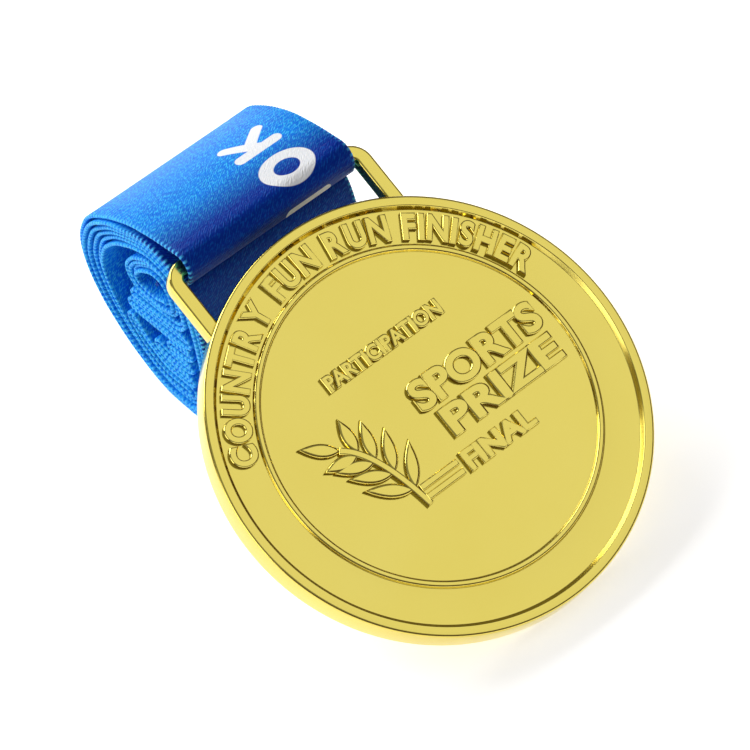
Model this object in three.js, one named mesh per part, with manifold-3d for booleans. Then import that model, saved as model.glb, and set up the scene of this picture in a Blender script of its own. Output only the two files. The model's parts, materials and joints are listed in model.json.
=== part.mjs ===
// A sports finisher medal lying on its own rolled-up neck ribbon: a die-cast disc with a wide ribbon
// loop, and one closed loop of satin ribbon that passes through the slot, over the bar, and is rolled
// up behind the disc. Millimetres, +X along the loop's bar, +Y from the disc's lower edge towards the
// roll, +Z up, origin on the table under the middle of the whole object.
import * as THREE from "three";
import { mergeVertices } from "three/addons/utils/BufferGeometryUtils.js";
import Module from "manifold-3d";

const wasm = await Module();
wasm.setup();

// Disc. Heights are measured down from the top of the raised rim.
const DISC_RADIUS = 35;
const DISC_THICKNESS = 5;
const EDGE_CHAMFER = 0.5;
const RIM_INNER_RADIUS = 33.5;
const RIM_FOOT_RADIUS = 32.8;
const FIELD_DEPTH = 0.8;
const BACK_RECESS = 0.3; // the back has a shallow field inside a plain rim of the same width
const BEAD_RADIUS = 26.7;
const BEAD_WIDTH = 1;
const BEAD_FOOT = 0.35;
const BEAD_TOP_DEPTH = 0.3;
const DISC_FACETS = 96;

// Ribbon loop, cast in one piece with the disc.
const LOOP_HALF_WIDTH = 19.75;
const LOOP_TOP = 41.4;
const LOOP_BAR_WIDTH = 2.5;
const LOOP_FRONT_DEPTH = 1.75;
const LOOP_THICKNESS = 2.8;
const LOOP_CORNER_RADIUS = 3.5;
const SLOT_CORNER_RADIUS = 1;
const LOOP_BEVEL = 0.3;
const LOOP_ROOT = 24; // how far up the disc the legs start

// Ribbon.
const RIBBON_WIDTH = 33;
const RIBBON_THICKNESS = 0.5;
const LAYER_PITCH = 0.8;
const WRAP_RADIUS = 2.35; // from the bar's axis to the middle of the ribbon
const DOUBLE_TURNS = 4.1;
const OUTER_DOUBLE_TURNS = 3;
const SAMPLES_PER_TURN = 48;
const LOOSENING_TURNS = 0.3; // over which the layers leave the outer turns for the core
const OUTER_START = 0.2; // where the outer strand joins the roll, in turns
const INNER_START = 0.07; // where the inner strand leaves the bar
const BEND_START = 82; // the wrap round the bar, in degrees from its far side
const BEND_END = 280;
const BEND_STEP = 14;

// Seam thread.
const THREAD_RADIUS = 0.3;
const THREAD_STITCHES = 9;
const THREAD_MARGIN = 1.5; // from the ribbon's edges
const THREAD_SWING = 0.8; // to each side of the seam
const THREAD_GAP = 0.3; // from the ribbon's surface

// How the medal lies: its lower edge on the table, its face tilted back by this much.
const LEAN = THREE.MathUtils.degToRad(27);
const FLOOR =
  -(DISC_RADIUS - EDGE_CHAMFER) * Math.sin(LEAN) - DISC_THICKNESS * Math.cos(LEAN);
const BAR_CENTRE = new THREE.Vector2(
  LOOP_TOP - LOOP_BAR_WIDTH / 2,
  -LOOP_FRONT_DEPTH - LOOP_THICKNESS / 2,
).rotateAround(new THREE.Vector2(), LEAN);
const ROLL_REACH = 64; // from the disc's centre to the far side of the roll
const MIDDLE_Y = (ROLL_REACH - DISC_RADIUS * Math.cos(LEAN)) / 2;

const gold = new THREE.MeshStandardMaterial({
  color: 0xd9b84a,
  roughness: 0.28,
  metalness: 1,
});
const satin = new THREE.MeshStandardMaterial({
  color: 0x1c74d8,
  roughness: 0.55,
  metalness: 0,
});
const thread = new THREE.MeshStandardMaterial({
  color: 0x2a6fc4,
  roughness: 0.7,
  metalness: 0,
});

function solidOf(geometry) {
  const bare = geometry.clone();
  bare.deleteAttribute("normal");
  bare.deleteAttribute("uv");
  const merged = mergeVertices(bare, 1e-4);
  return new wasm.Manifold(
    new wasm.Mesh({
      numProp: 3,
      vertProperties: merged.attributes.position.array,
      triVerts: new Uint32Array(merged.index.array),
    }),
  );
}

function geometryOf(solid) {
  const mesh = solid.getMesh();
  return new THREE.BufferGeometry()
    .setAttribute("position", new THREE.BufferAttribute(mesh.vertProperties, 3))
    .setIndex(new THREE.BufferAttribute(mesh.triVerts, 1));
}

// The disc: a raised rim, a field on each side of a raised bead ring, and a flat back.
function discGeometry() {
  const beadInner = BEAD_RADIUS - BEAD_WIDTH / 2;
  const beadOuter = BEAD_RADIUS + BEAD_WIDTH / 2;
  const back = -DISC_THICKNESS;
  const profile = [
    [0, back + BACK_RECESS],
    [RIM_FOOT_RADIUS, back + BACK_RECESS],
    [RIM_INNER_RADIUS, back],
    [DISC_RADIUS - EDGE_CHAMFER, back],
    [DISC_RADIUS, back + EDGE_CHAMFER],
    [DISC_RADIUS, -EDGE_CHAMFER],
    [DISC_RADIUS - EDGE_CHAMFER, 0],
    [RIM_INNER_RADIUS, 0],
    [RIM_FOOT_RADIUS, -FIELD_DEPTH],
    [beadOuter + BEAD_FOOT, -FIELD_DEPTH],
    [beadOuter, -BEAD_TOP_DEPTH],
    [beadInner, -BEAD_TOP_DEPTH],
    [beadInner - BEAD_FOOT, -FIELD_DEPTH],
    [0, -FIELD_DEPTH],
  ].map(([radius, height]) => new THREE.Vector2(radius, height));
  return new THREE.LatheGeometry(profile, DISC_FACETS).rotateX(Math.PI / 2);
}

// The loop: two legs and the bar, as one flat frame with rounded corners, open towards the disc.
function loopGeometry() {
  const slotHalf = LOOP_HALF_WIDTH - LOOP_BAR_WIDTH;
  const slotTop = LOOP_TOP - LOOP_BAR_WIDTH;
  const outerCorner = LOOP_HALF_WIDTH - LOOP_CORNER_RADIUS;
  const slotCorner = slotHalf - SLOT_CORNER_RADIUS;
  const frame = new THREE.Shape();
  frame.moveTo(LOOP_HALF_WIDTH, LOOP_ROOT);
  frame.absarc(outerCorner, LOOP_TOP - LOOP_CORNER_RADIUS, LOOP_CORNER_RADIUS, 0, Math.PI / 2);
  frame.absarc(-outerCorner, LOOP_TOP - LOOP_CORNER_RADIUS, LOOP_CORNER_RADIUS, Math.PI / 2, Math.PI);
  frame.lineTo(-LOOP_HALF_WIDTH, LOOP_ROOT);
  frame.lineTo(-slotHalf, LOOP_ROOT);
  frame.absarc(-slotCorner, slotTop - SLOT_CORNER_RADIUS, SLOT_CORNER_RADIUS, Math.PI, Math.PI / 2, true);
  frame.absarc(slotCorner, slotTop - SLOT_CORNER_RADIUS, SLOT_CORNER_RADIUS, Math.PI / 2, 0, true);
  frame.lineTo(slotHalf, LOOP_ROOT);
  return new THREE.ExtrudeGeometry(frame, {
    depth: LOOP_THICKNESS - 2 * LOOP_BEVEL,
    bevelThickness: LOOP_BEVEL,
    bevelSize: LOOP_BEVEL,
    bevelOffset: -LOOP_BEVEL,
    bevelSegments: 1,
    curveSegments: 6,
  }).translate(0, 0, LOOP_BEVEL - LOOP_FRONT_DEPTH - LOOP_THICKNESS);
}

function medalCasting() {
  const casting = solidOf(discGeometry()).add(solidOf(loopGeometry()));
  const mesh = new THREE.Mesh(geometryOf(casting), gold);
  mesh.name = "medal_casting";
  return mesh;
}

// The roll is drawn in its side view, (along, height) from the disc's centre. Its turns run clockwise
// between these two closed curves: the outside of the second turn, and the hollow at the core.
const ROLL_OUTLINE = new THREE.CatmullRomCurve3(
  [
    [36.6, 10.4],
    [41.5, 13.2],
    [48.5, 13.2],
    [55, 10.1],
    [60.6, 5.4],
    [63, -1.2],
    [60.5, -8.3],
    [54.4, -14.9],
    [46.5, -19.2],
    [38.3, -19.8],
    [33.9, -13],
    [33.8, -1],
  ].map(([along, height]) => new THREE.Vector3(along, height, 0)),
  true,
);
const ROOF_CREST = new THREE.Vector2(44.6, 16.2); // where the outer strand arches off the bar
const CORE = {
  centre: new THREE.Vector2(46.8, 5.3),
  halfLength: 4.8,
  halfHeight: 2.3,
  tilt: THREE.MathUtils.degToRad(10),
};

function corePoint(turn) {
  const angle = Math.PI * (5 / 6 - 2 * turn);
  return new THREE.Vector2(
    CORE.halfLength * Math.cos(angle),
    CORE.halfHeight * Math.sin(angle),
  )
    .rotateAround(new THREE.Vector2(), CORE.tilt)
    .add(CORE.centre);
}

// A point on the ribbon after so many double turns from the bar; strand 0 is the outer of the two
// strands and strand 1 the inner. Room that the layers don't fill is left inside the outer turns.
function rollPoint(turns, strand) {
  const around = ((turns % 1) + 1) % 1;
  const outline = ROLL_OUTLINE.getPoint(around);
  const outside = new THREE.Vector2(outline.x, outline.y);
  const inward = corePoint(around).sub(outside);
  const length = inward.length();
  inward.normalize();
  const tangent = ROLL_OUTLINE.getTangent(around);
  const slant = Math.abs(inward.cross(new THREE.Vector2(tangent.x, tangent.y)));
  const pitch = Math.min(LAYER_PITCH / slant, length / (2 * DOUBLE_TURNS));
  const room = length - 2 * DOUBLE_TURNS * pitch;
  const loosened = THREE.MathUtils.smoothstep(
    turns,
    OUTER_DOUBLE_TURNS,
    OUTER_DOUBLE_TURNS + LOOSENING_TURNS,
  );
  const layers = 2 * (turns - 1) + 0.5 + strand;
  const point = outside.addScaledVector(inward, layers * pitch + room * loosened);
  const below = 2 * Math.floor(turns) + strand; // layers between this one and the table
  const lowest = FLOOR + RIBBON_THICKNESS / 2 + below * LAYER_PITCH;
  point.y = Math.max(point.y, lowest);
  return point;
}

function rollStrand(strand, firstTurn) {
  const steps = Math.round((DOUBLE_TURNS - firstTurn) * SAMPLES_PER_TURN);
  const points = [];
  for (let i = 0; i <= steps; i++) {
    const turns = THREE.MathUtils.lerp(firstTurn, DOUBLE_TURNS, i / steps);
    points.push(rollPoint(turns, strand));
  }
  return points;
}

// The bend round the bar, from its top, down the slot side, to its underside.
function barBend() {
  const points = [];
  for (let degrees = BEND_START; degrees <= BEND_END; degrees += BEND_STEP) {
    const angle = THREE.MathUtils.degToRad(degrees);
    points.push(
      new THREE.Vector2(Math.cos(angle), Math.sin(angle)).multiplyScalar(WRAP_RADIUS).add(BAR_CENTRE),
    );
  }
  return points;
}

// The middle line of the whole closed ribbon: in along the inner strand, round the fold at the core,
// out along the outer strand, and over the bar.
function ribbonPath() {
  const inner = rollStrand(1, INNER_START);
  const outer = rollStrand(0, OUTER_START);
  return [...barBend(), ...inner, ...outer.reverse(), ROOF_CREST];
}

function ribbonGeometry() {
  const path = ribbonPath();
  const side = (distance) =>
    path.map((point, i) => {
      const before = path[(i + path.length - 1) % path.length];
      const after = path[(i + 1) % path.length];
      const along = after.clone().sub(before).normalize();
      return new THREE.Vector2(
        point.x + along.y * distance,
        point.y - along.x * distance,
      );
    });
  const shape = new THREE.Shape(side(RIBBON_THICKNESS / 2));
  shape.holes.push(new THREE.Path(side(-RIBBON_THICKNESS / 2)));
  return new THREE.ExtrudeGeometry(shape, {
    depth: RIBBON_WIDTH,
    bevelEnabled: false,
  }).translate(0, 0, -RIBBON_WIDTH / 2);
}

function ribbonMesh() {
  const mesh = new THREE.Mesh(ribbonGeometry(), satin);
  mesh.name = "ribbon";
  // The side view's (along, height, across) become +Y, +Z and +X.
  mesh.matrixAutoUpdate = false;
  mesh.matrix.makeBasis(
    new THREE.Vector3(0, 1, 0),
    new THREE.Vector3(0, 0, 1),
    new THREE.Vector3(1, 0, 0),
  );
  return mesh;
}

// One row of zigzag stitches where the ribbon's two ends are joined, laid on the innermost layer
// under the hollow at the core.
function seamThread() {
  const half = RIBBON_WIDTH / 2 - THREAD_MARGIN;
  const corners = [];
  for (let i = 0; i <= THREAD_STITCHES; i++) {
    const across = THREE.MathUtils.lerp(-half, half, i / THREAD_STITCHES);
    corners.push(new THREE.Vector3(across, i % 2 ? THREAD_SWING : -THREAD_SWING, 0));
  }
  const route = new THREE.CatmullRomCurve3(corners);
  const section = new THREE.Shape();
  section.absarc(0, 0, THREAD_RADIUS, 0, 2 * Math.PI);
  const mesh = new THREE.Mesh(
    new THREE.ExtrudeGeometry(section, {
      steps: 6 * THREAD_STITCHES,
      curveSegments: 3,
      extrudePath: route,
    }),
    thread,
  );
  mesh.name = "seam_thread";
  const lift = RIBBON_THICKNESS / 2 + THREAD_GAP + THREAD_RADIUS;
  const under = new THREE.Vector2(0, lift - CORE.halfHeight)
    .rotateAround(new THREE.Vector2(), CORE.tilt)
    .add(CORE.centre);
  mesh.position.set(0, under.x, under.y);
  mesh.rotation.x = CORE.tilt;
  return mesh;
}

const leaning = new THREE.Group();
leaning.rotation.x = LEAN;
leaning.add(medalCasting());

const medal = new THREE.Group();
medal.add(leaning, ribbonMesh(), seamThread());
medal.position.set(0, -MIDDLE_Y, -FLOOR);

export default medal;
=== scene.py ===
"""The looks of a sports finisher medal: a gold-plated casting with raised lettering, lying face up on
its own rolled-up blue satin ribbon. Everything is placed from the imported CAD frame, in metres."""
import json
import math

import bmesh
import bpy
import numpy as np
from mathutils import Matrix, Vector


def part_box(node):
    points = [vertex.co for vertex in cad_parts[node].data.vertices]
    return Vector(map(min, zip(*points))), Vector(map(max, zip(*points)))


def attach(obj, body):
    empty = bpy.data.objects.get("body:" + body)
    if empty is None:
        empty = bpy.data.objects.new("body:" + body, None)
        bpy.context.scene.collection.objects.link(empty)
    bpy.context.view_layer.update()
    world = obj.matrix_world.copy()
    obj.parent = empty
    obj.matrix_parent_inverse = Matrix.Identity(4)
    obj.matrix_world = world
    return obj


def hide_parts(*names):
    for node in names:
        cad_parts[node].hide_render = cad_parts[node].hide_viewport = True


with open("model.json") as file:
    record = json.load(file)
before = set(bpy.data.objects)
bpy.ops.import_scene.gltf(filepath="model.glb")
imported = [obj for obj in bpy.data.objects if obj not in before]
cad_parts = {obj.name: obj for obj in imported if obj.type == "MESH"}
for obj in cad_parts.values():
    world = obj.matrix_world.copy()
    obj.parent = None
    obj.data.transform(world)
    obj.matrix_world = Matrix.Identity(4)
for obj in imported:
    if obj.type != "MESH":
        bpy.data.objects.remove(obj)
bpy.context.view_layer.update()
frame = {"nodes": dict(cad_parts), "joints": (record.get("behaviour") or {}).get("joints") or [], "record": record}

MM = 0.001

# ---------------------------------------------------------------- places taken from the CAD frame

mounts = {mount["name"]: mount for mount in frame["record"]["mounts"]}
swing = frame["joints"][0]
RIM_FACE = Vector(mounts["rim_face"]["pos_m"])
FACE_NORMAL = Vector(mounts["rim_face"]["axis"]).normalized()
ACROSS = Vector((1, 0, 0))
UP_THE_DISC = FACE_NORMAL.cross(ACROSS)
DISC_CENTRE = RIM_FACE - ACROSS * RIM_FACE.x

# Medal frame, in millimetres: x across, y towards the loop, z out of the face, from the rim's top.
MEDAL = Matrix.Translation(DISC_CENTRE) @ Matrix(
    (
        (ACROSS.x, UP_THE_DISC.x, FACE_NORMAL.x, 0),
        (ACROSS.y, UP_THE_DISC.y, FACE_NORMAL.y, 0),
        (ACROSS.z, UP_THE_DISC.z, FACE_NORMAL.z, 0),
        (0, 0, 0, 1),
    )
) @ Matrix.Scale(MM, 4)

# Section frame, in millimetres: along +Y and up, from the disc's centre, for the roll's side view.
BAR_AXIS = np.array([swing["pos_m"][1] - DISC_CENTRE.y, swing["pos_m"][2] - DISC_CENTRE.z]) / MM
TABLE = -DISC_CENTRE.z / MM

# ---------------------------------------------------------------- driving dimensions, in millimetres

DISC_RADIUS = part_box("medal_casting")[1].x / MM
DISC_THICKNESS = 5.0
FIELD_RADIUS = 32.9
FIELD_DEPTH = 0.8
BACK_RECESS = 0.3
BEAD_RADIUS = 26.7
BEAD_WIDTH = 1.0
BEAD_TOP = -0.28
LETTER_HEIGHT = 0.72
LETTER_TOP = LETTER_HEIGHT - FIELD_DEPTH

LOOP_HALF_WIDTH = 19.75
LOOP_TOP = 41.4
LOOP_BAR = 2.5
LOOP_FRONT_DEPTH = 1.75
LOOP_THICKNESS = 2.8
LOOP_ROOT = 24.0

RIBBON_WIDTH = 2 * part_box("ribbon")[1].x / MM
RIBBON_THICKNESS = 0.58
LAYER_PITCH = 0.77


# ---------------------------------------------------------------- small helpers


def link(name, mesh, material, matrix=None, angle=40):
    """A new object of that mesh, smooth apart from its sharp edges."""
    obj = bpy.data.objects.new(name, mesh)
    bpy.context.scene.collection.objects.link(obj)
    if matrix is not None:
        mesh.transform(matrix)
    mesh.materials.clear()
    mesh.materials.append(material)
    mesh.shade_smooth()
    mesh.set_sharp_from_angle(angle=math.radians(angle))
    return obj


def mesh_of(curve):
    """The mesh of a curve or text, which is removed."""
    holder = bpy.data.objects.new("holder", curve)
    bpy.context.scene.collection.objects.link(holder)
    bpy.context.view_layer.update()
    mesh = bpy.data.meshes.new_from_object(holder)
    bpy.data.objects.remove(holder)
    bpy.data.curves.remove(curve)
    return mesh


def joined(meshes):
    """One mesh holding all of these."""
    whole = bmesh.new()
    for mesh in meshes:
        whole.from_mesh(mesh)
        bpy.data.meshes.remove(mesh)
    result = bpy.data.meshes.new("joined")
    whole.to_mesh(result)
    whole.free()
    return result


def rounded(corners, steps=6):
    """The outline through (x, y, radius) corners, each rounded by an arc of that radius."""
    points = []
    for i, (x, y, radius) in enumerate(corners):
        here = np.array([x, y])
        if radius == 0:
            points.append(here)
            continue
        back = np.array(corners[i - 1][:2]) - here
        on = np.array(corners[(i + 1) % len(corners)][:2]) - here
        back, on = back / np.linalg.norm(back), on / np.linalg.norm(on)
        half = math.acos(np.clip(back @ on, -1, 1)) / 2
        reach = radius / math.tan(half)
        middle = (back + on) / np.linalg.norm(back + on)
        centre = here + middle * radius / math.sin(half)
        start, end = here + back * reach - centre, here + on * reach - centre
        sweep = math.pi - 2 * half
        for step in range(steps + 1):
            share = step / steps
            a = math.sin((1 - share) * sweep) / math.sin(sweep)
            b = math.sin(share * sweep) / math.sin(sweep)
            points.append(centre + a * start + b * end)
    return points
# ---------------------------------------------------------------- the rolled ribbon's path

# Control points of the outside of the roll's second turn, clockwise from the bar.
ROLL_OUTLINE = [
    (36.4, 10.4), (40.6, 13.9), (45.6, 15), (51.2, 13.5), (57, 11.1), (62, 6.6), (64.1, -0.6),
    (61.4, -8.3), (54.9, -15.1), (46.6, -19.3), (38.3, -19.8), (33.9, -13), (33.8, -1),
]
ROLL_CENTRE = np.array([46.8, 0.5])
SPIRAL_START = (0.3, 0.06)  # where the outer and the inner strand leave the bar, in turns
SPIRAL_END = 2.78
LOOSE_TURN = 6 / 13  # the far side of the roll, where its layers stand apart
LOOSENESS = 0.46
WRAP_RADIUS = 2.35  # from the bar's axis to the middle of the ribbon, on the slot side
BULGE = 1.1  # how much further the ribbon stands off the top of the bar
ROOF_PULL = 0.38  # how far the roof keeps the direction of its ends, as a share of its span

# Where the ribbon goes inside the roll: back and forth in a folded stack, then round the upper hollow.
# Each corner is (along, height, radius).
FOLDED_INSIDE = [
    (38.2, -14.1, 0.6), (45.3, -14.2, 6), (49.9, -11.4, 6), (53.4, -7.6, 0.77), (52.3, -6.5, 0.77),
    (48.9, -10.2, 5), (44.6, -12.6, 5), (38.1, -12.5, 0.77), (38.1, -10.95, 0.77), (44.4, -11, 4),
    (47, -9.7, 0.77), (46.6, -8.2, 0.77), (44.4, -9.45, 4), (38.1, -9.4, 0.77), (38, -7.9, 0.77),
    (43.6, -8, 0.77), (43.7, -6.5, 0.77), (37.9, -6.4, 0.77), (37.9, -4.9, 0.77),
    (44.4, -5, 6), (53, -5.3, 0.77), (52.8, -3.75, 0.77), (44.5, -3.5, 6), (37.8, -3.35, 0.77),
    (37.8, -1.85, 0.77), (44.4, -1.95, 6), (51.9, -2.2, 0.77), (51.4, -0.68, 0.77),
    (44.6, -0.4, 5), (38, 0.3, 2.2), (39.2, 6.8, 3.5), (41.9, 10.3, 3), (46, 10.4, 3),
    (49.6, 7.9, 3), (51.9, 4.8, 2.2), (50, 1.3, 3), (44.5, 1.1, 3), (40.2, 2.1, 2),
    (40.8, 6.6, 2.5), (42.8, 8.9, 2.5), (45.5, 8.85, 2.5), (48.5, 6.9, 2.2), (50.2, 4.7, 1.6),
    (49.2, 2.9, 2), (44.8, 2.6, 2), (42.2, 3.6, 0),
]
RIBBON_STEP = 0.225


def closed_spline(points, at):
    """A uniform closed Catmull-Rom spline through those points, at a share of its length from 0 to 1."""
    points = np.array(points, float)
    place = (at % 1) * len(points)
    i = int(place)
    t = place - i
    a, b, c, d = (points[(i + k) % len(points)] for k in (-1, 0, 1, 2))
    return 0.5 * (
        2 * b + (c - a) * t + (2 * a - 5 * b + 4 * c - d) * t**2 + (3 * b - a - 3 * c + d) * t**3
    )


def spiral_point(turns, strand):
    """A point on the rolled part after so many double turns; strand 0 is the outer of the two."""
    around = turns % 1
    outside = closed_spline(ROLL_OUTLINE, around)
    inward = ROLL_CENTRE - outside
    inward /= np.linalg.norm(inward)
    ahead = closed_spline(ROLL_OUTLINE, around + 0.01) - closed_spline(ROLL_OUTLINE, around - 0.01)
    ahead /= np.linalg.norm(ahead)
    slant = abs(inward[0] * ahead[1] - inward[1] * ahead[0])
    loose = max(0.0, math.cos(2 * math.pi * (around - LOOSE_TURN))) ** 1.5
    pitch = LAYER_PITCH * (1 + LOOSENESS * loose)
    point = outside + inward * ((2 * turns + 0.5 + strand) * pitch - 2 * LAYER_PITCH) / slant
    below = 2 * math.floor(turns) + strand
    point[1] = max(point[1], TABLE + RIBBON_THICKNESS / 2 + below * LAYER_PITCH)
    return point


def sideways(path, distance):
    """The open path moved that far to its left."""
    path = np.array(path)
    ahead = np.gradient(path, axis=0)
    ahead /= np.linalg.norm(ahead, axis=1)[:, None]
    return path + np.stack([-ahead[:, 1], ahead[:, 0]], 1) * distance


def resampled(path, step):
    """The open path at equal steps of about that length."""
    lengths = np.concatenate([[0], np.cumsum(np.linalg.norm(np.diff(path, axis=0), axis=1))])
    count = round(lengths[-1] / step)
    places = np.linspace(0, lengths[-1], count + 1)
    return np.stack([np.interp(places, lengths, path[:, k]) for k in range(2)], 1)


def smoothed(path, passes):
    """The open path with its kinks eased; its ends stay."""
    for _ in range(passes):
        path[1:-1] = 0.25 * path[:-2] + 0.5 * path[1:-1] + 0.25 * path[2:]
    return path


def bridge(before, start, end, after, pull):
    """A smooth curve from start to end, in line with the points before and after them."""
    span = np.linalg.norm(end - start)
    first = start + (start - before) / np.linalg.norm(start - before) * span * pull
    second = end - (after - end) / np.linalg.norm(after - end) * span * pull
    return [
        start * (1 - t) ** 3 + first * 3 * t * (1 - t) ** 2 + second * 3 * t**2 * (1 - t) + end * t**3
        for t in np.linspace(0, 1, 42)[1:-1]
    ]


def ribbon_path():
    """The ribbon's middle line, from the fold at its inner end, out to the bar and back in again."""
    strands = []
    for strand, start in enumerate(SPIRAL_START):
        steps = np.linspace(start, SPIRAL_END, 240)
        strands.append([spiral_point(turns, strand) for turns in steps])
    last = (strands[0][-1] + strands[1][-1]) / 2
    inside = rounded([(*last, 0), *FOLDED_INSIDE], steps=8)
    inside = smoothed(resampled(np.array(inside), RIBBON_STEP), 6)[2:]
    outer = [*strands[0], *sideways(inside, LAYER_PITCH / 2)]
    inner = [*strands[1], *sideways(inside, -LAYER_PITCH / 2)]
    bend = []
    for angle in np.radians(np.arange(82, 281, 4)):
        radius = WRAP_RADIUS + BULGE * max(0.0, math.sin(angle)) ** 1.5
        bend.append(BAR_AXIS + radius * np.array([math.cos(angle), math.sin(angle)]))
    roof = bridge(outer[1], outer[0], bend[0], bend[1], ROOF_PULL)
    fold = (outer[-1] + inner[-1]) / 2 + (inside[-1] - inside[-2]) / RIBBON_STEP * LAYER_PITCH / 2
    path = np.array([fold, *reversed(outer), *roof, *bend, *inner, fold])
    return smoothed(resampled(path, RIBBON_STEP), 8)


# ---------------------------------------------------------------- node helpers


class Tree:
    """Adds nodes to a material's tree and links them as they are made."""

    def __init__(self, name):
        self.material = bpy.data.materials.new(name)
        self.material.use_nodes = True
        self.nodes = self.material.node_tree.nodes
        self.links = self.material.node_tree.links
        self.shader = self.nodes["Principled BSDF"]

    def add(self, kind, settings=None, **inputs):
        node = self.nodes.new("ShaderNode" + kind)
        for key, value in (settings or {}).items():
            setattr(node, key, value)
        for key, value in inputs.items():
            socket = node.inputs[int(key[1:]) if key[0] == "_" else key.replace("_", " ")]
            self.feed(socket, value)
        return node

    def feed(self, socket, value):
        if isinstance(value, bpy.types.NodeSocket):
            self.links.new(value, socket)
        else:
            socket.default_value = value

    def math(self, operation, *values):
        inputs = {f"_{i}": value for i, value in enumerate(values)}
        return self.add("Math", {"operation": operation}, **inputs).outputs[0]

    def weighted(self, one, one_share, other, other_share):
        """one * one_share + other * other_share."""
        parts = self.math("MULTIPLY", one, one_share), self.math("MULTIPLY", other, other_share)
        return self.math("ADD", *parts)

    def hypotenuse(self, x, y):
        return self.math("SQRT", self.math("ADD", self.math("POWER", x, 2.0), self.math("POWER", y, 2.0)))

    def wave(self, along, period):
        """A sine of that period, from -1 to 1."""
        return self.math("SINE", self.math("MULTIPLY", along, 2 * math.pi / period))

    def distance_from(self, value, middle):
        return self.math("ABSOLUTE", self.math("SUBTRACT", value, middle))

    def ramp(self, value, low, high):
        """0 at low to 1 at high."""
        return self.add("MapRange", Value=value, From_Min=low, From_Max=high).outputs[0]

    def mix(self, share, one, other):
        node = self.add("Mix", {"data_type": "RGBA"}, _0=share, _6=one, _7=other)
        return node.outputs[2]

    def noise(self, where, scale, detail=2.0):
        return self.add("TexNoise", Vector=where, Scale=scale, Detail=detail).outputs[0]

    def set(self, **values):
        for key, value in values.items():
            self.feed(self.shader.inputs[key.replace("_", " ")], value)

    def bump(self, height, distance, strength=1.0):
        node = self.add("Bump", Height=height, Distance=distance, Strength=strength)
        self.feed(self.shader.inputs["Normal"], node.outputs[0])


def linear(red, green, blue):
    """An sRGB colour, 0 to 255, as the linear colour that a shader takes."""
    parts = [value / 255 for value in (red, green, blue)]
    return (*(p / 12.92 if p <= 0.04045 else ((p + 0.055) / 1.055) ** 2.4 for p in parts), 1)


# ---------------------------------------------------------------- materials

GOLD_DEEP = linear(226, 207, 98)
GOLD_LIGHT = linear(236, 219, 113)
# Painted shade: this navy stands in for shade on the satin.
SATIN_PAINTED_SHADE = linear(0, 24, 142)
SATIN_DEEP = linear(0, 96, 226)
SATIN_MID = linear(0, 140, 250)
# Painted highlight: the lightest blue lightens the floats where they stand high; it also tints the sheen.
SATIN_PAINTED_GLINT_AND_SHEEN = linear(70, 215, 255)
SELVEDGE_LIGHT = linear(80, 195, 255)
THREAD_DEEP = linear(20, 80, 180)
THREAD_LIGHT = linear(70, 150, 235)
PRINT_WHITE = linear(244, 247, 252)
# Painted highlight: the brightest white lightens the print where a float stands high.
PRINT_PAINTED_GLINT = linear(255, 255, 255)
BACK_FACE = 200.0  # added to the place across, to tell the ribbon's back from its face
FLOATS_PER_MM = 4.2
FLOAT_ENDS_PER_MM = 1.3
SLANT_ALONG, SLANT_ACROSS = 0.62, 0.78  # the floats' direction on the ribbon
TWILL_PER_MM = 3.0
PICKS_PER_MM = 1.8
FLECK_RELIEF, TWILL_RELIEF, PICK_RELIEF = 3.0, 0.16, 0.1
PAINTED_GLINT_HEIGHTS = (1.48, 2.0)  # where a float's painted highlight starts, and where it is full
# How much the painted highlight lightens the azure, and the painted shade.
PAINTED_GLINT_SHARE, PAINTED_SHADE_GLINT_SHARE = 0.85, 0.3
SELVEDGE_PERIOD = 0.9
SCALLOP = 0.06  # how far the selvedge swings in and out
# Painted shade, navy round the bar and in the crease behind the loop where shade falls: (middle along the ribbon,
# half).
PAINTED_SHADE_BANDS = [(-8.0, 9.0), (93.0, 13.0)]
PAINTED_SHADE_FADE = 7.5  # from the painted shade to azure
PAINTED_SHADE_LEAST = 0.06  # how much azure stays in the painted shade
PRINT_START = -9.0  # along the ribbon from the top of the bar
PRINT_FOOT = 10.6  # across the ribbon
PRINT_HEIGHT = 7.0
PRINT_STROKE = 2.0
PRINT_BLUR = 0.06
TABLE_GLOW = 0.58


def gold_material():
    """Polished gold plating: a faint cast unevenness, dulled a little in patches."""
    tree = Tree("gold_plate")
    where = tree.add("TexCoord").outputs["Object"]
    patches = tree.noise(where, 60.0, 3.0)
    ripple = tree.noise(where, 900.0, 2.0)
    tone = tree.mix(patches, GOLD_DEEP, GOLD_LIGHT)
    rough = tree.add(
        "MapRange", Value=patches, From_Min=0.3, From_Max=0.7, To_Min=0.13, To_Max=0.19
    ).outputs[0]
    tree.set(Base_Color=tone, Roughness=rough)
    tree.shader.inputs["Metallic"].default_value = 1.0
    tree.bump(ripple, 0.00001, 0.12)
    return tree.material


def stroke_distance(tree, x, y, start, end):
    """The distance from (x, y) to the straight stroke between two points."""
    (ax, ay), (bx, by) = start, end
    dx, dy = bx - ax, by - ay
    square = dx * dx + dy * dy
    from_x = tree.math("SUBTRACT", x, ax)
    from_y = tree.math("SUBTRACT", y, ay)
    share = tree.weighted(from_x, dx / square, from_y, dy / square)
    share = tree.math("MINIMUM", tree.math("MAXIMUM", share, 0.0), 1.0)
    off_x = tree.math("SUBTRACT", from_x, tree.math("MULTIPLY", share, dx))
    off_y = tree.math("SUBTRACT", from_y, tree.math("MULTIPLY", share, dy))
    return tree.hypotenuse(off_x, off_y)


def ring_distance(tree, x, y, middle, half_width, half_height):
    """The distance from (x, y) to an oval line."""
    across = tree.math("DIVIDE", tree.math("SUBTRACT", x, middle[0]), half_width)
    along = tree.math("DIVIDE", tree.math("SUBTRACT", y, middle[1]), half_height)
    reach = tree.hypotenuse(across, along)
    return tree.math("MULTIPLY", tree.distance_from(reach, 1.0), half_width)


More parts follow.
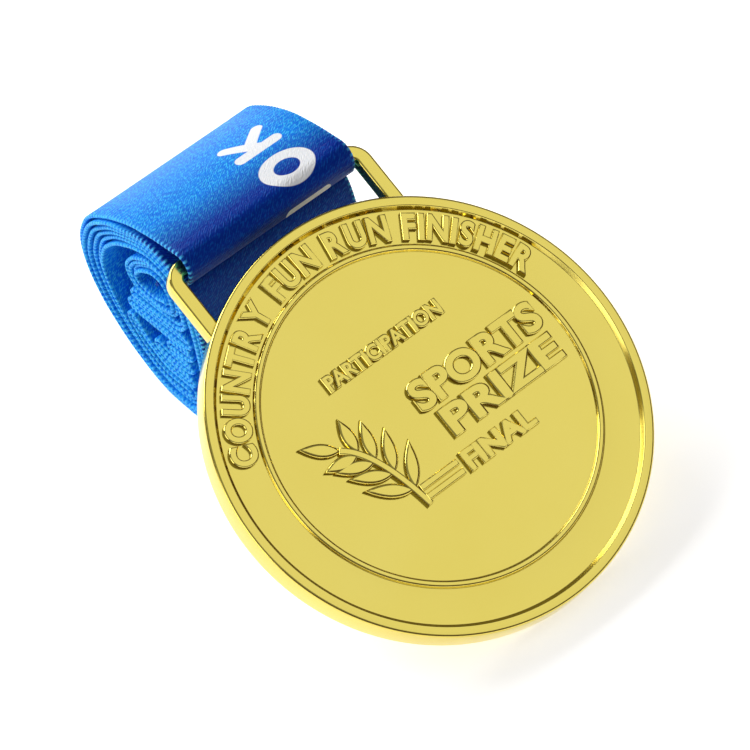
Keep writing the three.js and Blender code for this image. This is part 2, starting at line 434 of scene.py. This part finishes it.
def print_mask(tree, along, across):
    """1 inside the printed characters 1, 0 and K, which read outwards from the bar."""
    x = tree.math("SUBTRACT", along, PRINT_START)
    y = tree.math("SUBTRACT", PRINT_FOOT, across)
    high = PRINT_HEIGHT
    one, zero, kay = 3.4, 11.1, 18.2  # where each character stands
    lines = [
        stroke_distance(tree, x, y, (one, 0), (one, high)),
        stroke_distance(tree, x, y, (one - 2, high - 1.9), (one, high)),
        ring_distance(tree, x, y, (zero, high / 2), 2.8, high / 2),
        stroke_distance(tree, x, y, (kay, 0), (kay, high)),
        stroke_distance(tree, x, y, (kay + 0.4, high * 0.42), (kay + 4.8, high)),
        stroke_distance(tree, x, y, (kay + 1.6, high * 0.58), (kay + 5.2, 0)),
    ]
    nearest = lines[0]
    for line in lines[1:]:
        nearest = tree.math("MINIMUM", nearest, line)
    return tree.ramp(nearest, PRINT_STROKE / 2 + PRINT_BLUR, PRINT_STROKE / 2 - PRINT_BLUR)


def satin_material():
    """Blue satin: fine diagonal floats lightened by painted highlights, a corded edge, the white print, and
    painted shade round the bar and in the crease behind the loop.
    """
    tree = Tree("blue_satin")
    weave = tree.add("UVMap", {"uv_map": "weave"}).outputs[0]
    split = tree.add("SeparateXYZ", _0=weave)
    along, across = split.outputs[0], split.outputs[1]

    on_back = tree.math("GREATER_THAN", across, BACK_FACE / 2)
    across = tree.math("SUBTRACT", across, tree.math("MULTIPLY", on_back, BACK_FACE))

    # Floats lie aslant, each row a step further along than the last, and no two stand alike; where one stands
    # high, its colour is lightened as a painted highlight.
    lengthwise = tree.weighted(along, SLANT_ALONG, across, SLANT_ACROSS)
    crosswise = tree.weighted(along, SLANT_ACROSS, across, -SLANT_ALONG)
    floats = tree.add(
        "CombineXYZ",
        _0=tree.math("MULTIPLY", lengthwise, FLOAT_ENDS_PER_MM),
        _1=tree.math("MULTIPLY", crosswise, FLOATS_PER_MM),
        _2=tree.math("MULTIPLY", on_back, 7.0),
    ).outputs[0]
    flecks = tree.noise(floats, 1.0, 2.0)
    twill = tree.wave(crosswise, 1 / TWILL_PER_MM)
    picks = tree.wave(along, 1 / PICKS_PER_MM)
    height = tree.weighted(
        tree.weighted(flecks, FLECK_RELIEF, twill, TWILL_RELIEF), 1.0, picks, PICK_RELIEF
    )
    # Painted highlight: 0 to 1 as a float stands higher, lightening the colour there.
    painted_glint = tree.ramp(height, *PAINTED_GLINT_HEIGHTS)
    uneven = tree.noise(weave, 0.35, 3.0)

    ground = tree.mix(uneven, SATIN_DEEP, SATIN_MID)
    # Painted shade: navy bands round the bar and in the crease behind the loop, where shade falls.
    clear = [
        tree.ramp(tree.distance_from(along, middle), half, half + PAINTED_SHADE_FADE)
        for middle, half in PAINTED_SHADE_BANDS
    ]
    azure = tree.math("MAXIMUM", tree.math("MULTIPLY", *clear), PAINTED_SHADE_LEAST)
    colour = tree.mix(tree.math("MULTIPLY", painted_glint, PAINTED_GLINT_SHARE), ground, SATIN_PAINTED_GLINT_AND_SHEEN)
    # The painted shade carries fainter painted highlights.
    painted_shade = tree.mix(tree.math("MULTIPLY", painted_glint, PAINTED_SHADE_GLINT_SHARE), SATIN_PAINTED_SHADE, SATIN_DEEP)
    colour = tree.mix(azure, painted_shade, colour)
    edge = tree.ramp(tree.math("ABSOLUTE", across), RIBBON_WIDTH / 2 - 0.7, RIBBON_WIDTH / 2 - 0.1)
    beads = tree.ramp(tree.wave(along, SELVEDGE_PERIOD), -0.3, 0.9)
    colour = tree.mix(tree.math("MULTIPLY", edge, beads), colour, SELVEDGE_LIGHT)
    printed = print_mask(tree, along, split.outputs[1])
    # The print takes the same painted highlight.
    white = tree.mix(painted_glint, PRINT_WHITE, PRINT_PAINTED_GLINT)
    colour = tree.mix(printed, colour, white)
    tree.set(Base_Color=colour, Sheen_Tint=SATIN_PAINTED_GLINT_AND_SHEEN, Specular_Tint=(0.25, 0.8, 1.0, 1))
    tree.shader.inputs["Roughness"].default_value = 0.42
    tree.shader.inputs["IOR"].default_value = 1.5
    tree.shader.inputs["Specular IOR Level"].default_value = 0.14
    tree.shader.inputs["Sheen Weight"].default_value = 0.02
    tree.shader.inputs["Sheen Roughness"].default_value = 0.4
    tree.bump(height, 0.00006, 0.8)
    return tree.material


def thread_material():
    """Twisted polyester sewing thread."""
    tree = Tree("blue_thread")
    where = tree.add("TexCoord").outputs["Object"]
    twist = tree.add("TexWave", Vector=where, Scale=900.0, Distortion=1.5).outputs[1]
    tree.set(Base_Color=tree.mix(twist, THREAD_DEEP, THREAD_LIGHT))
    tree.shader.inputs["Roughness"].default_value = 0.6
    tree.shader.inputs["Sheen Weight"].default_value = 0.3
    tree.bump(twist, 0.00004)
    return tree.material


def floor_material():
    """Pale matt table, faintly mottled."""
    tree = Tree("pale_table")
    where = tree.add("TexCoord").outputs["Object"]
    mottle = tree.noise(where, 3.0)
    tree.set(Base_Color=tree.mix(mottle, (0.9, 0.9, 0.905, 1), (0.93, 0.93, 0.93, 1)))
    tree.shader.inputs["Roughness"].default_value = 0.9
    tree.shader.inputs["Emission Color"].default_value = (1, 1, 1, 1)
    tree.shader.inputs["Emission Strength"].default_value = TABLE_GLOW
    return tree.material


gold = gold_material()
satin = satin_material()
sewing_thread = thread_material()


# ---------------------------------------------------------------- the casting


def lathe(profile, steps=240):
    """The closed solid that a profile of (radius, height) makes about the medal's axis."""
    solid = bmesh.new()
    rings = []
    for radius, height in profile:
        if radius < 1e-6:
            rings.append([solid.verts.new((0, 0, height))])
            continue
        turns = [2 * math.pi * step / steps for step in range(steps)]
        rings.append(
            [solid.verts.new((radius * math.cos(t), radius * math.sin(t), height)) for t in turns]
        )
    for lower, upper in zip(rings, rings[1:]):
        for i in range(steps):
            j = (i + 1) % steps
            if len(lower) == 1:
                solid.faces.new((lower[0], upper[j], upper[i]))
            elif len(upper) == 1:
                solid.faces.new((lower[i], lower[j], upper[0]))
            else:
                solid.faces.new((lower[i], lower[j], upper[j], upper[i]))
    bmesh.ops.recalc_face_normals(solid, faces=solid.faces)
    mesh = bpy.data.meshes.new("lathe")
    solid.to_mesh(mesh)
    solid.free()
    return mesh


def disc_mesh():
    """The disc: rounded rim, slanted step to the field, bead ring, and a shallow field on the back."""
    back = -DISC_THICKNESS
    inner, outer = BEAD_RADIUS - BEAD_WIDTH / 2, BEAD_RADIUS + BEAD_WIDTH / 2
    corners = [
        (0, back + BACK_RECESS, 0),
        (FIELD_RADIUS, back + BACK_RECESS, 0.25),
        (FIELD_RADIUS + 0.6, back, 0.3),
        (DISC_RADIUS, back, 0.5),
        (DISC_RADIUS, 0, 0.42),
        (FIELD_RADIUS + 0.5, 0, 0.2),
        (FIELD_RADIUS, -FIELD_DEPTH, 0.15),
        (outer + 0.1, -FIELD_DEPTH, 0.1),
        (outer - 0.08, BEAD_TOP, 0.36),
        (inner + 0.08, BEAD_TOP, 0.36),
        (inner - 0.1, -FIELD_DEPTH, 0.1),
        (0, -FIELD_DEPTH, 0),
    ]
    return lathe(rounded(corners))


def raised(outlines, depth, bevel, rounding=0):
    """Flat shapes of those closed outlines, their edges bevelled, from -depth up to 0."""
    curve = bpy.data.curves.new("raised", "CURVE")
    curve.dimensions = "2D"
    curve.fill_mode = "BOTH"
    curve.extrude = depth / 2 - bevel
    curve.bevel_depth = bevel
    curve.bevel_resolution = rounding
    for outline in outlines:
        spline = curve.splines.new("POLY")
        spline.points.add(len(outline) - 1)
        for point, (x, y) in zip(spline.points, outline):
            point.co = (x, y, 0, 1)
        spline.use_cyclic_u = True
    mesh = mesh_of(curve)
    mesh.transform(Matrix.Translation((0, 0, -depth / 2)))
    return mesh


def lettering(words, height, bold, bevel=0.24, depth=1.3, width=None, stretch=1.0):
    """Raised words that stand on y = 0 from x = 0, with capitals of that height, from -depth up to 0."""
    flat = bpy.data.curves.new("flat", "FONT")
    flat.body = "H"
    capital = mesh_of(flat)
    size = height / (max(v.co.y for v in capital.vertices) - min(v.co.y for v in capital.vertices))
    bpy.data.meshes.remove(capital)
    text = bpy.data.curves.new("words", "FONT")
    text.body = words
    text.size = size
    text.resolution_u = 8
    text.offset = bold
    text.extrude = depth / 2 - bevel
    text.bevel_depth = bevel
    text.bevel_resolution = 2
    mesh = mesh_of(text)
    across = [v.co.x for v in mesh.vertices]
    if width:
        stretch = width / (max(across) - min(across))
    mesh.transform(
        Matrix.Diagonal((stretch, 1, 1, 1)) @ Matrix.Translation((-min(across), 0, -depth / 2))
    )
    return mesh


def arc_lettering(words, radius, height, start, end, top):
    """Raised capitals round an arc, their feet on that radius, from the start to the end angle."""
    glyphs = [None if c == " " else lettering(c, height, 0.15, stretch=0.86) for c in words]
    wide = [height * 0.42 if g is None else max(v.co.x for v in g.vertices) for g in glyphs]
    middle = radius + height / 2
    arc = math.radians(start - end) * middle
    gap = (arc - sum(wide)) / (len(words) - 1)
    placed, travelled = [], 0
    for glyph, width in zip(glyphs, wide):
        if glyph:
            angle = math.radians(start) - (travelled + width / 2) / middle
            upright = Matrix.Translation((-width / 2, radius, top))
            glyph.transform(Matrix.Rotation(angle - math.pi / 2, 4, "Z") @ upright)
            placed.append(glyph)
        travelled += width + gap
    return placed


def leaf(foot, tip, width):
    """The outline of a pointed leaf."""
    foot, tip = np.array(foot), np.array(tip)
    spine = tip - foot
    side = np.array([-spine[1], spine[0]]) / np.linalg.norm(spine) * width / 2
    shares = np.linspace(0, 1, 15)
    bulge = np.sin(np.pi * shares**0.85) ** 0.9
    left = [foot + spine * t + side * b for t, b in zip(shares, bulge)]
    right = [foot + spine * t - side * b for t, b in zip(shares, bulge)]
    return [*left, *reversed(right[1:-1])]


def band(points, width):
    """The outline of a stroke of that width along the points."""
    left, right = sideways(points, width / 2), sideways(points, -width / 2)
    return [*left, *reversed(right)]


def sprig(top):
    """A generic laurel sprig: a curved stem with leaves in pairs and one at its tip."""
    stem = [
        np.array([-9.2, -10.8]) * (1 - t) ** 2
        + np.array([-11, 0.5]) * 2 * t * (1 - t)
        + np.array([-15.4, 3.4]) * t**2
        for t in np.linspace(0, 1, 16)
    ]
    pieces = [raised([band(stem, 0.7)], 1.3, 0.25, 2)]
    for i in (2, 5, 8, 11):
        ahead = stem[i + 1] - stem[i]
        heading = math.atan2(ahead[1], ahead[0])
        length = 6.4 - 0.16 * i
        for side in (1, -1):
            spread = heading + side * math.radians(44)
            reach = np.array([math.cos(spread), math.sin(spread)])
            foot = stem[i] + reach * 0.9
            pieces.append(raised([leaf(foot, foot + reach * length, 1.5)], 1.4, 0.42, 3))
    tip = stem[-1] - stem[-2]
    tip /= np.linalg.norm(tip)
    pieces.append(raised([leaf(stem[-1] + tip * 0.5, stem[-1] + tip * 5.6, 1.5)], 1.4, 0.42, 3))
    for piece in pieces:
        piece.transform(Matrix.Translation((0, 0, top)))
    return pieces


def loop_mesh():
    """The ribbon loop: two legs and the bar, with rounded corners and eased edges."""
    half, slot = LOOP_HALF_WIDTH, LOOP_HALF_WIDTH - LOOP_BAR
    ease = 0.4
    outline = rounded(
        [
            (half - ease, LOOP_ROOT, 0),
            (half - ease, LOOP_TOP - ease, 3.3),
            (-half + ease, LOOP_TOP - ease, 3.3),
            (-half + ease, LOOP_ROOT, 0),
            (-slot - ease, LOOP_ROOT, 0),
            (-slot - ease, LOOP_TOP - LOOP_BAR + ease, 1.2),
            (slot + ease, LOOP_TOP - LOOP_BAR + ease, 1.2),
            (slot + ease, LOOP_ROOT, 0),
        ],
        steps=10,
    )
    mesh = raised([outline], LOOP_THICKNESS, ease, 3)
    mesh.transform(Matrix.Translation((0, 0, -LOOP_FRONT_DEPTH)))
    return mesh


def words_at(words, x, baseline, height, width, bold):
    """Raised words on the field, their lower left corner at (x, baseline)."""
    mesh = lettering(words, height, bold, width=width)
    mesh.transform(Matrix.Translation((x, baseline, LETTER_TOP)))
    return mesh


disc = link("medal_disc", disc_mesh(), gold, MEDAL, 30)
loop = link("medal_loop", loop_mesh(), gold, MEDAL, 30)
two_bars = [
    band([np.array([x, y]) for x in np.linspace(-8.8, -1.8, 5)], 0.7) for y in (-9.9, -8.2)
]
inscription = link(
    "medal_lettering",
    joined(
        [
            *arc_lettering("COUNTRY FUN RUN FINISHER", 28.15, 3.7, 161.5, 18, LETTER_TOP),
            words_at("PARTICIPATION", -10.8, 11.5, 2.25, 23, 0.07),
            words_at("SPORTS", -1.2, 0.9, 4.4, 25.4, 0.2),
            words_at("PRIZE", 0.6, -4.8, 4.2, 23.0, 0.2),
            words_at("FINAL", -0.8, -10.5, 2.9, 13.8, 0.12),
            raised(two_bars, 1.3, 0.2, 2),
        ]
    ),
    gold,
    MEDAL,
    25,
)
emblem = link("medal_emblem", joined(sprig(LETTER_TOP)), gold, MEDAL, 25)
for piece in (disc, loop, inscription, emblem):
    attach(piece, "medal")
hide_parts("medal_casting")


# ---------------------------------------------------------------- the ribbon


def ribbon_section():
    """Once round the ribbon's section: (across, out of its face, place across for the weave)."""
    half, round_off = RIBBON_WIDTH / 2, RIBBON_THICKNESS / 2
    columns = np.linspace(-half + round_off, half - round_off, 9)
    turn = np.radians([-60, -30, 0, 30, 60])
    ring = [(x, round_off, x + BACK_FACE) for x in columns[::-1]]
    ring += [
        (-half + round_off - round_off * math.cos(a), -round_off * math.sin(a), -half) for a in turn
    ]
    ring += [(x, -round_off, x) for x in columns]
    ring += [
        (half - round_off + round_off * math.cos(a), round_off * math.sin(a), half) for a in turn
    ]
    return ring


def ribbon_mesh(path):
    """The closed strip along the path, with a scalloped selvedge and layers that don't quite line up."""
    count = len(path) - 1
    ahead = np.roll(path[:-1], -1, 0) - np.roll(path[:-1], 1, 0)
    ahead /= np.linalg.norm(ahead, axis=1)[:, None]
    out = np.stack([-ahead[:, 1], ahead[:, 0]], 1)
    step = np.linalg.norm(np.diff(path, axis=0), axis=1).mean()
    bar_top = int(np.argmin(np.linalg.norm(path - (BAR_AXIS + [0, WRAP_RADIUS + BULGE]), axis=1)))
    place = (bar_top - np.arange(count + 1)) * step
    section = ribbon_section()
    vertices, faces = [], []
    for i in range(count):
        s = place[i]
        # The layers drift sideways by up to 0.47 mm, less on the roof, and ripple by up to 0.05 mm.
        turned = min(max(s / 22, 0), 1)
        drift = 0.05 + 0.2 * math.sin(s / 17 + 0.6) * turned
        drift += 0.22 * math.sin(s / 31) * (1 if s < 0 else turned)
        scallop = SCALLOP * math.sin(2 * math.pi * s / SELVEDGE_PERIOD)
        ripple = 0.03 * math.sin(s / 2.7) + 0.02 * math.sin(s / 1.1)
        for x, height, _ in section:
            edge = max(0.0, abs(x) / (RIBBON_WIDTH / 2) - 0.94) / 0.06
            across = x + drift + math.copysign(scallop * edge, x)
            spot = path[i] + out[i] * (height * (1 + 0.25 * edge * (scallop / SCALLOP)) + ripple)
            vertices.append((across, *spot))
    size = len(section)
    for i in range(count):
        here, there = i * size, (i + 1) % count * size
        for k in range(size):
            m = (k + 1) % size
            faces.append((here + k, there + k, there + m, here + m))
    mesh = bpy.data.meshes.new("ribbon")
    mesh.from_pydata(vertices, [], faces)
    weave = mesh.uv_layers.new(name="weave")
    across = [row[2] for row in section]
    coordinates = np.empty((len(faces) * 4, 2))
    row = 0
    for i in range(count):
        for k in range(size):
            a, b = across[k], across[(k + 1) % size]
            if abs(a - b) > BACK_FACE / 2:
                a, b = (a + BACK_FACE, b) if a < b else (a, b + BACK_FACE)
            coordinates[row : row + 4] = (
                (place[i], a), (place[i + 1], a), (place[i + 1], b), (place[i], b)
            )
            row += 4
    weave.data.foreach_set("uv", coordinates.ravel())
    return mesh, step * count


SECTION = Matrix.Translation(DISC_CENTRE) @ Matrix.Scale(MM, 4)

path = ribbon_path()
strip, strip_length = ribbon_mesh(path)
ribbon = link("ribbon_satin", strip, satin, SECTION, 60)
ribbon.data.validate()
print("ribbon length in mm:", round(strip_length))
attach(ribbon, "ribbon")
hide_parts("ribbon")
seam = frame["nodes"]["seam_thread"]
seam.data.materials.clear()
seam.data.materials.append(sewing_thread)


# ---------------------------------------------------------------- studio

# The camera's directions, and the disc's centre from it, in millimetres.
CAMERA_FORWARD = (0.3869, 0.5186, -0.7625)
CAMERA_RIGHT = (0.748, -0.660, -0.0693)
DISC_RIGHT, DISC_DOWN, DISC_AHEAD = 8.52, 5.63, 675.34
LENS, SENSOR = 216, 36
FLOOR_HALF = 2.5

# The sky's colour at heights from the horizon, 0, to overhead, 1.
PALE, DUSK = np.array([1.0, 1.0, 1.0]), np.array([1.0, 0.5, 0.2])
SKY = [
    (0.0, PALE * 0.7),
    (0.05, PALE * 0.4),
    (0.14, DUSK * 0.1),
    (0.5, DUSK * 0.06),
    (0.74, PALE * 0.25),
    (1.0, PALE * 0.3),
]

# Each soft light: its name, direction from the disc, distance and size in metres, and radiance.
LIGHTS = [
    ("overhead_panel", (0.387, -0.312, 0.868), 0.9, (0.56, 0.56), 0.69),
    ("back_panel", (-0.2, 0.85, 0.5), 1.1, (1.0, 0.6), 6.6),
    ("left_panel", (-0.95, 0.1, 0.3), 0.9, (0.6, 0.4), 2.2),
]


def area_light(name, direction, distance, size, radiance, aim):
    """A rectangular soft light in that direction from the aim point, facing it."""
    light = bpy.data.lights.new(name, "AREA")
    light.shape = "RECTANGLE"
    light.size, light.size_y = size
    light.energy = radiance * math.pi * size[0] * size[1]
    obj = bpy.data.objects.new(name, light)
    bpy.context.scene.collection.objects.link(obj)
    heading = Vector(direction).normalized()
    obj.location = aim + heading * distance
    obj.rotation_euler = heading.to_track_quat("Z", "Y").to_euler()


def studio_world():
    """A room that is pale at the horizon and overhead, and dim between, for polished edges to reflect."""
    world = bpy.data.worlds.new("studio")
    bpy.context.scene.world = world
    world.use_nodes = True
    nodes, links = world.node_tree.nodes, world.node_tree.links
    place = nodes.new("ShaderNodeTexCoord")
    split = nodes.new("ShaderNodeSeparateXYZ")
    links.new(place.outputs["Generated"], split.inputs[0])
    ramp = nodes.new("ShaderNodeValToRGB")
    links.new(split.outputs[2], ramp.inputs[0])
    bands = ramp.color_ramp.elements
    while len(bands) < len(SKY):
        bands.new(0.5)
    for element, (height, colour) in zip(bands, SKY):
        element.position = height
        element.color = (*colour, 1)
    links.new(ramp.outputs[0], nodes["Background"].inputs[0])


def camera():
    """A long lens at the left, in front and above."""
    forward = Vector(CAMERA_FORWARD).normalized()
    right = Vector(CAMERA_RIGHT)
    right = (right - forward * right.dot(forward)).normalized()
    down = forward.cross(right)
    lens = bpy.data.cameras.new("camera")
    lens.lens, lens.sensor_width = LENS, SENSOR
    lens.clip_end = 20
    obj = bpy.data.objects.new("camera", lens)
    bpy.context.scene.collection.objects.link(obj)
    to_disc = right * DISC_RIGHT + down * DISC_DOWN + forward * DISC_AHEAD
    spot = DISC_CENTRE - to_disc * MM
    obj.matrix_world = Matrix.Translation(spot) @ Matrix(
        [(right[k], -down[k], -forward[k], 0) for k in range(3)] + [(0, 0, 0, 1)]
    )
    bpy.context.scene.camera = obj


def floor():
    """The table that the medal lies on."""
    half = FLOOR_HALF
    mesh = bpy.data.meshes.new("floor")
    mesh.from_pydata(
        [(-half, -half, 0), (half, -half, 0), (half, half, 0), (-half, half, 0)], [], [(0, 1, 2, 3)]
    )
    table = bpy.data.objects.new("floor", mesh)
    bpy.context.scene.collection.objects.link(table)
    mesh.materials.append(floor_material())


camera()
floor()
studio_world()
for light in LIGHTS:
    area_light(*light, DISC_CENTRE)
bpy.context.scene.view_settings.view_transform = "Standard"
